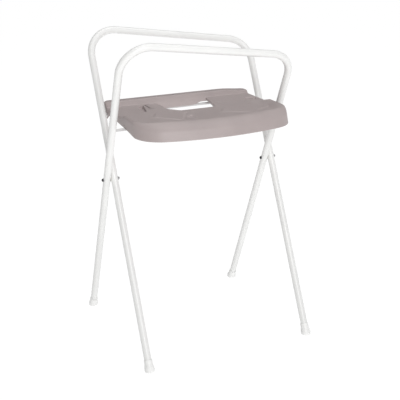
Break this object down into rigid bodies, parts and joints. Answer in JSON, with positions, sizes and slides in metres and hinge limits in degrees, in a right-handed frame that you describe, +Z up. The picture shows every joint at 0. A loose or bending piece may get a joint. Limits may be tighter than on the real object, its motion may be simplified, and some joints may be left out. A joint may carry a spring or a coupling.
{
  "type": "folding bath and changing stand",
  "caption": "Folding stand of crossed white tube frames holding a moulded taupe tray between its legs, for a baby bath or changing top.",
  "frame": {"origin": "on the floor under the middle of the pivot line, midway between the four feet", "axes": "+Z up, +X along the top bars towards their low end, +Y to the rear"},
  "size_m": [0.5995, 0.536, 0.9682],
  "materials": {
    "frame_paint": "satin white powder coat",
    "rod_steel": "light grey coated steel",
    "foot_plastic": "white soft plastic",
    "bolt_dark": "dark zinc",
    "nut_steel": "zinc plated",
    "spacer_plastic": "natural nylon",
    "clip_plastic": "fine grain",
    "tray_plastic": "taupe, fine moulded grain"
  },
  "bodies": {
    "rear_bar_stand": {"rear_bar_frame": "frame_paint", "rear_rod": "rod_steel", "foot_front_left": "foot_plastic", "foot_front_right": "foot_plastic", "pivot_bolt_left": "bolt_dark", "pivot_bolt_right": "bolt_dark", "pivot_nut_left": "nut_steel", "pivot_nut_right": "nut_steel", "pivot_washers_left": "nut_steel", "pivot_washers_right": "nut_steel", "pivot_spacer_left": "spacer_plastic", "pivot_spacer_right": "spacer_plastic"},
    "front_bar_stand": {"front_bar_frame": "frame_paint", "front_rod": "rod_steel", "foot_rear_left": "foot_plastic", "foot_rear_right": "foot_plastic"},
    "tray_assembly": {"tray": "tray_plastic", "snap_clip_left": "clip_plastic", "snap_clip_right": "clip_plastic"}
  },
  "joints": [
    {"name": "stand_fold", "type": "hinge", "parent": "rear_bar_stand", "child": "front_bar_stand", "pos_m": [0, 0, 0.5355], "axis": [-1, 0, 0], "range_deg": [0, 42]},
    {"name": "tray_lift", "type": "hinge", "parent": "rear_bar_stand", "child": "tray_assembly", "pos_m": [0, 0.08643, 0.717], "axis": [-1, 0, 0], "range_deg": [0, 82]}
  ],
  "couplings": [
    {"joint": "tray_lift", "follows": "stand_fold", "ratio": 1.95}
  ]
}
